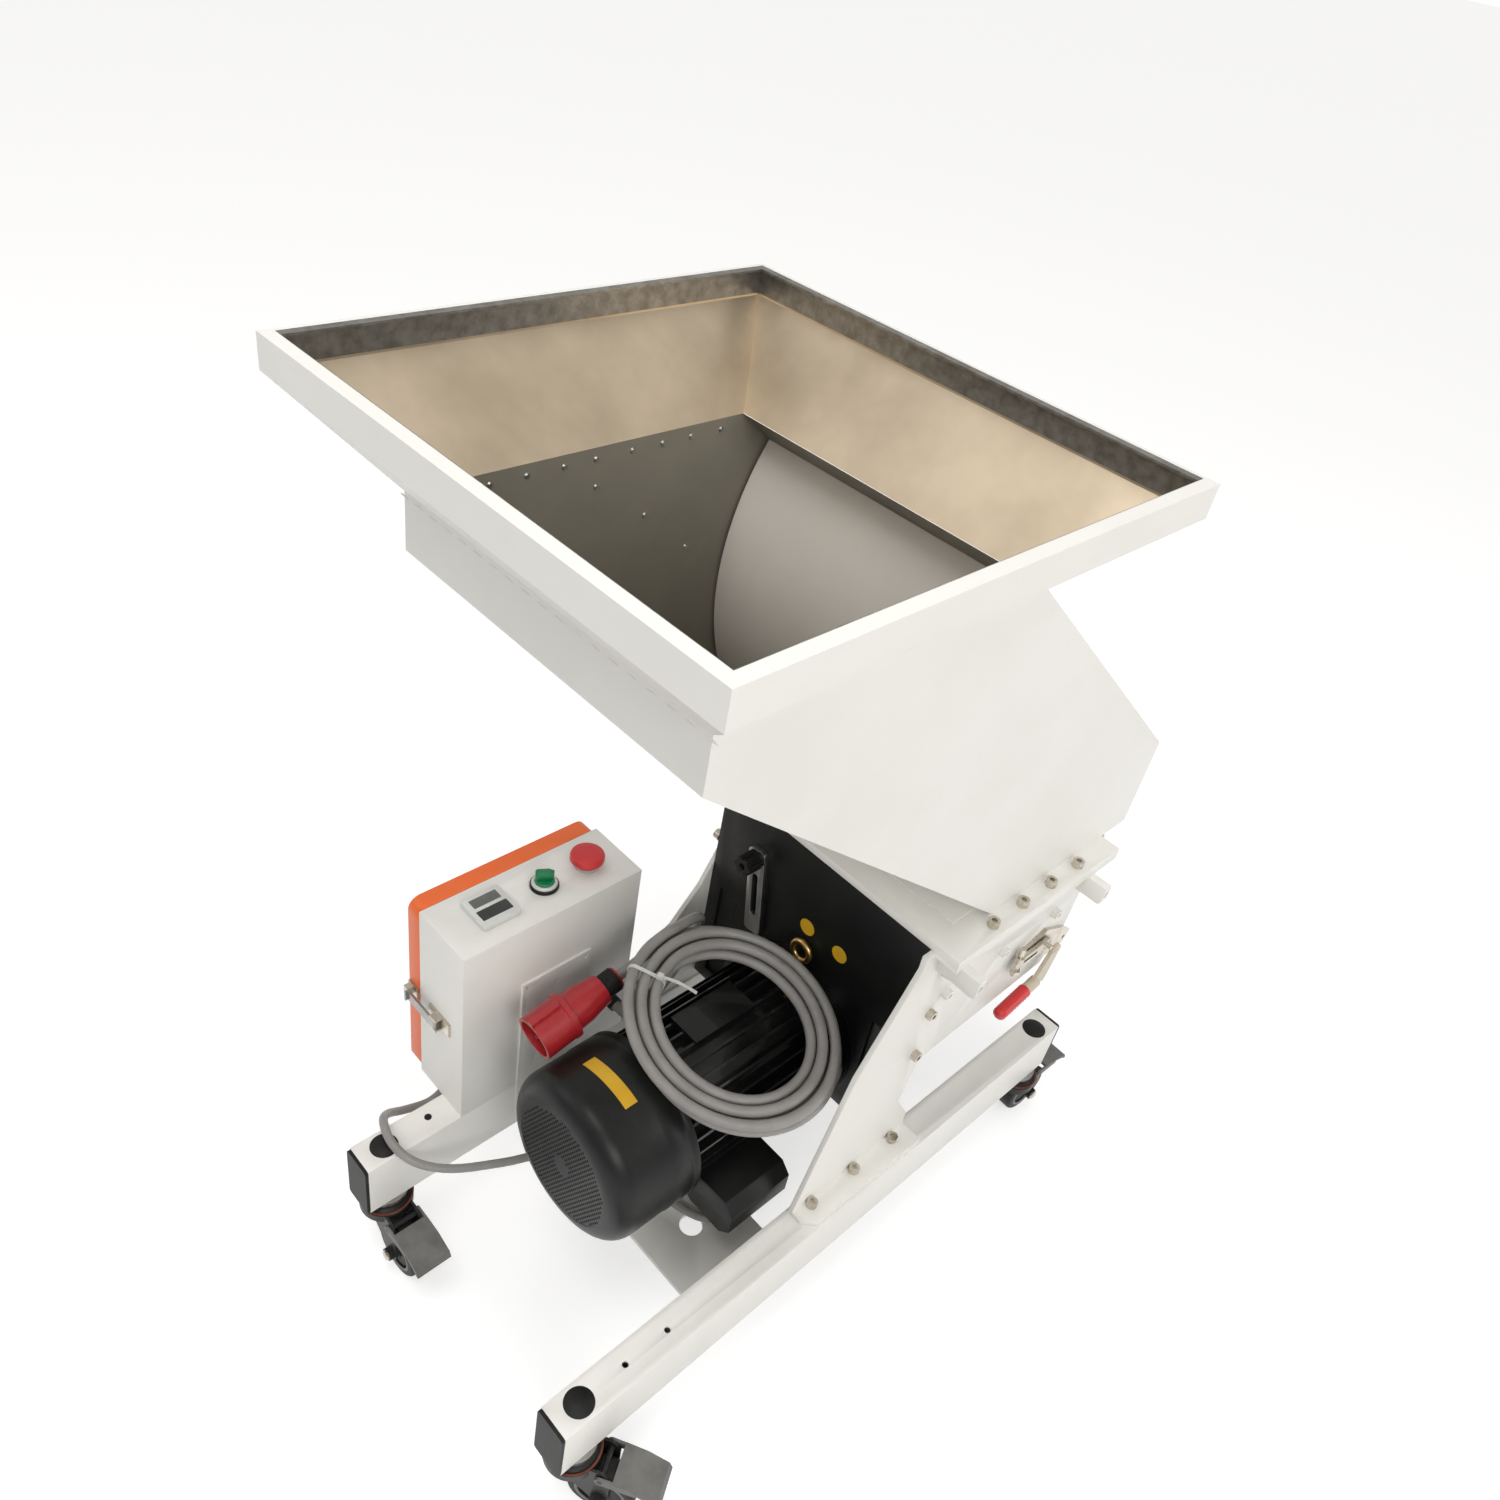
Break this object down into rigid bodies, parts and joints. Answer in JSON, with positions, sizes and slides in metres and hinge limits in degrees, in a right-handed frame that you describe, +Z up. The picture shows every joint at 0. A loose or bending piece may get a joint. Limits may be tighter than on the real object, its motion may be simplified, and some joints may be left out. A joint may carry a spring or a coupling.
{
  "type": "plastic granulator",
  "caption": "Wheeled plastic granulator: slanted feed hopper over a knife rotor and screen, finned drive motor, control box, two-rail frame on braked swivel casters.",
  "frame": {"origin": "on the floor, in the middle of the machine without its cords", "axes": "+Y runs along the frame rails towards the outlet end, +X to the clamp side, +Z up"},
  "size_m": [0.5498, 0.9116, 1.105],
  "materials": {
    "white_powder": "satin powder coat",
    "black_plastic": "matte",
    "black_casting": "gloss enamel on castings",
    "nickel": "nickel plated",
    "tool_steel": "ground",
    "stainless": "brushed",
    "brass_gold": "yellow passivated",
    "orange_paint": "satin powder coat",
    "fan_plastic": "matte",
    "panel_grey": "matte",
    "green_plastic": "gloss",
    "red_plastic": "gloss",
    "beige_paint": "satin, with a red grip",
    "fork_black": "satin black",
    "wheel_rubber": "matte tread on a grey core",
    "pedal_grey": "satin",
    "cord_grey": "soft sheath"
  },
  "bodies": {
    "frame": {"left_rail": "white_powder", "right_rail": "white_powder", "rail_plugs": "black_plastic", "cross_plate": "white_powder", "left_side_plate": "white_powder", "right_side_plate": "white_powder", "cap_screws": "nickel", "knife_screws": "white_powder", "lifting_lugs": "white_powder", "cutting_chamber": "black_casting", "bed_knives": "tool_steel", "sieve_screen": "stainless", "gear_housing": "black_casting", "bearing_housing": "black_casting", "fan_cowl": "black_casting", "motor_body": "black_casting", "terminal_box": "black_casting", "lifting_eye": "brass_gold", "adjuster_bar": "stainless", "hopper_tray": "white_powder", "hopper_chute": "white_powder", "hopper_flange": "white_powder", "splash_guard": "stainless", "control_box": "white_powder", "box_bracket": "white_powder", "contactor_panel": "panel_grey", "display_module": "black_plastic", "switch_bezels": "panel_grey", "latch_base": "nickel", "cable_glands": "black_plastic", "clamp_bracket": "nickel", "caster_stems": "tool_steel", "supply_cord_coil": "cord_grey", "supply_cord_tail": "cord_grey", "supply_cord_lead": "cord_grey", "supply_plug": "red_plastic", "motor_lead": "cord_grey"},
    "rotor": {"cutting_rotor": "tool_steel"},
    "fan": {"motor_fan": "fan_plastic"},
    "knob": {"lock_knob": "black_plastic"},
    "door": {"box_door": "orange_paint", "latch_keeper": "nickel"},
    "selector": {"selector_knob": "green_plastic"},
    "stop_button": {"estop_head": "red_plastic"},
    "latch": {"latch_lever": "nickel"},
    "clamp_arm_body": {"clamp_arm": "nickel"},
    "clamp_lever_body": {"clamp_lever": "beige_paint"},
    "fork_near_left_body": {"fork_near_left": "fork_black"},
    "wheel_near_left_body": {"wheel_near_left": "wheel_rubber"},
    "pedal_near_left_body": {"pedal_near_left": "pedal_grey"},
    "fork_near_right_body": {"fork_near_right": "fork_black"},
    "wheel_near_right_body": {"wheel_near_right": "wheel_rubber"},
    "pedal_near_right_body": {"pedal_near_right": "pedal_grey"},
    "fork_far_left_body": {"fork_far_left": "fork_black"},
    "wheel_far_left_body": {"wheel_far_left": "wheel_rubber"},
    "pedal_far_left_body": {"pedal_far_left": "pedal_grey"},
    "fork_far_right_body": {"fork_far_right": "fork_black"},
    "wheel_far_right_body": {"wheel_far_right": "wheel_rubber"},
    "pedal_far_right_body": {"pedal_far_right": "pedal_grey"}
  },
  "joints": [
    {"name": "rotor_spin", "type": "hinge", "parent": "frame", "child": "rotor", "pos_m": [-0.00644, 0.16515, 0.445], "axis": [0, 1, 0], "continuous": true},
    {"name": "fan_spin", "type": "hinge", "parent": "frame", "child": "fan", "pos_m": [-0.00644, -0.26485, 0.272], "axis": [0, 1, 0], "continuous": true},
    {"name": "knob_turn", "type": "hinge", "parent": "frame", "child": "knob", "pos_m": [-0.09989, 0.01015, 0.46792], "axis": [0, 1, 0], "range_deg": [-180, 180]},
    {"name": "door_hinge", "type": "hinge", "parent": "frame", "child": "door", "pos_m": [-0.25644, -0.08935, 0.32], "axis": [0, 0, -1], "range_deg": [0, 110]},
    {"name": "selector_turn", "type": "hinge", "parent": "frame", "child": "selector", "pos_m": [-0.20994, -0.20085, 0.466], "axis": [0, 0, 1], "range_deg": [-45, 45]},
    {"name": "stop_press", "type": "slide", "parent": "frame", "child": "stop_button", "axis": [0, 0, -1], "range_m": [0, 0.004], "stiffness_N_per_m": 600},
    {"name": "latch_swing", "type": "hinge", "parent": "frame", "child": "latch", "pos_m": [-0.21044, -0.34085, 0.324], "axis": [0, 0, 1], "range_deg": [0, 100]},
    {"name": "clamp_lever_swing", "type": "hinge", "parent": "frame", "child": "clamp_lever_body", "pos_m": [0.17806, 0.28715, 0.392], "axis": [1, 0, 0], "range_deg": [0, 60]},
    {"name": "clamp_arm_swing", "type": "hinge", "parent": "frame", "child": "clamp_arm_body", "pos_m": [0.17206, 0.26515, 0.412], "axis": [-1, 0, 0], "range_deg": [0, 60]},
    {"name": "swivel_near_left", "type": "hinge", "parent": "frame", "child": "fork_near_left_body", "pos_m": [-0.18744, -0.42085, 0.095], "axis": [0, 0, 1], "continuous": true},
    {"name": "roll_near_left", "type": "hinge", "parent": "fork_near_left_body", "child": "wheel_near_left_body", "pos_m": [-0.14844, -0.42085, 0.0375], "axis": [0, 1, 0], "continuous": true},
    {"name": "brake_near_left", "type": "hinge", "parent": "fork_near_left_body", "child": "pedal_near_left_body", "pos_m": [-0.14944, -0.42085, 0.086], "axis": [0, 1, 0], "range_deg": [0, 10]},
    {"name": "swivel_near_right", "type": "hinge", "parent": "frame", "child": "fork_near_right_body", "pos_m": [0.17456, -0.42085, 0.095], "axis": [0, 0, 1], "continuous": true},
    {"name": "roll_near_right", "type": "hinge", "parent": "fork_near_right_body", "child": "wheel_near_right_body", "pos_m": [0.20799, -0.40076, 0.0375], "axis": [-0.515, 0.8572, 0], "continuous": true},
    {"name": "brake_near_right", "type": "hinge", "parent": "fork_near_right_body", "child": "pedal_near_right_body", "pos_m": [0.20714, -0.40128, 0.086], "axis": [-0.515, 0.8572, 0], "range_deg": [0, 10]},
    {"name": "swivel_far_left", "type": "hinge", "parent": "frame", "child": "fork_far_left_body", "pos_m": [-0.18744, 0.35115, 0.095], "axis": [0, 0, 1], "continuous": true},
    {"name": "roll_far_left", "type": "hinge", "parent": "fork_far_left_body", "child": "wheel_far_left_body", "pos_m": [-0.2081, 0.38422, 0.0375], "axis": [-0.848, -0.5299, 0], "continuous": true},
    {"name": "brake_far_left", "type": "hinge", "parent": "fork_far_left_body", "child": "pedal_far_left_body", "pos_m": [-0.20757, 0.38338, 0.086], "axis": [-0.848, -0.5299, 0], "range_deg": [0, 10]},
    {"name": "swivel_far_right", "type": "hinge", "parent": "frame", "child": "fork_far_right_body", "pos_m": [0.17456, 0.35115, 0.095], "axis": [0, 0, 1], "continuous": true},
    {"name": "roll_far_right", "type": "hinge", "parent": "fork_far_right_body", "child": "wheel_far_right_body", "pos_m": [0.17592, 0.39013, 0.0375], "axis": [-0.9994, 0.0349, 0], "continuous": true},
    {"name": "brake_far_right", "type": "hinge", "parent": "fork_far_right_body", "child": "pedal_far_right_body", "pos_m": [0.17589, 0.38913, 0.086], "axis": [-0.9994, 0.0349, 0], "range_deg": [0, 10]}
  ],
  "couplings": [
    {"joint": "fan_spin", "follows": "rotor_spin", "ratio": 13},
    {"joint": "clamp_arm_swing", "follows": "clamp_lever_swing", "ratio": 1}
  ]
}
